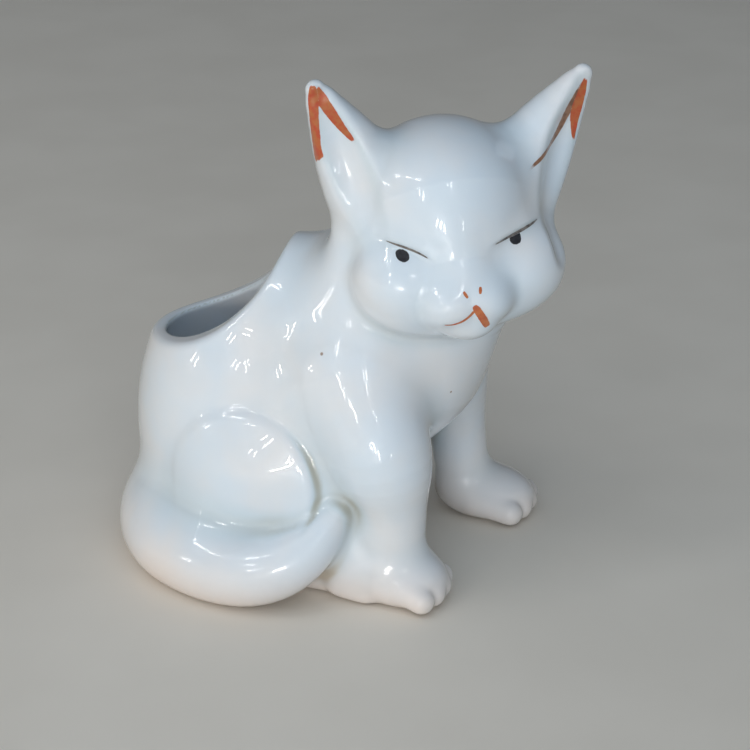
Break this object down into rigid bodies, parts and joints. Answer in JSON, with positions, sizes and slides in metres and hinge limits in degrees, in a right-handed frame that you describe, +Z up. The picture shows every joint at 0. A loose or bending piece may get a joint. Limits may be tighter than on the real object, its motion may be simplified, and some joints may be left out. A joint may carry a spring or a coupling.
{
  "type": "cat figurine vase",
  "caption": "Small seated glazed porcelain cat with its head turned, a tail wrapped round one side and a hollow body open at the back, for toothpicks or a small posy.",
  "frame": {"origin": "on the flat resting face at the ground, under the middle of the body", "axes": "+Z up, the body faces -Y, the cat's right side is -X"},
  "size_m": [0.0634, 0.0822, 0.0968],
  "materials": {
    "porcelain": "gloss",
    "black_enamel": "gloss",
    "eyelid_enamel": "gloss",
    "orange_enamel": "satin",
    "ear_enamel": "satin"
  },
  "bodies": {
    "root": {"torso": "porcelain", "head": "porcelain", "right_ear": "porcelain", "left_ear": "porcelain", "right_foreleg": "porcelain", "left_foreleg": "porcelain", "right_hind_foot": "porcelain", "left_hind_foot": "porcelain", "tail": "porcelain", "right_pupil": "black_enamel", "left_pupil": "black_enamel", "right_eyelid_line": "eyelid_enamel", "left_eyelid_line": "eyelid_enamel", "nostril_marks": "orange_enamel", "mouth_line": "orange_enamel", "mouth_stroke": "orange_enamel", "right_ear_enamel": "ear_enamel", "left_ear_enamel": "ear_enamel"}
  },
  "joints": []
}
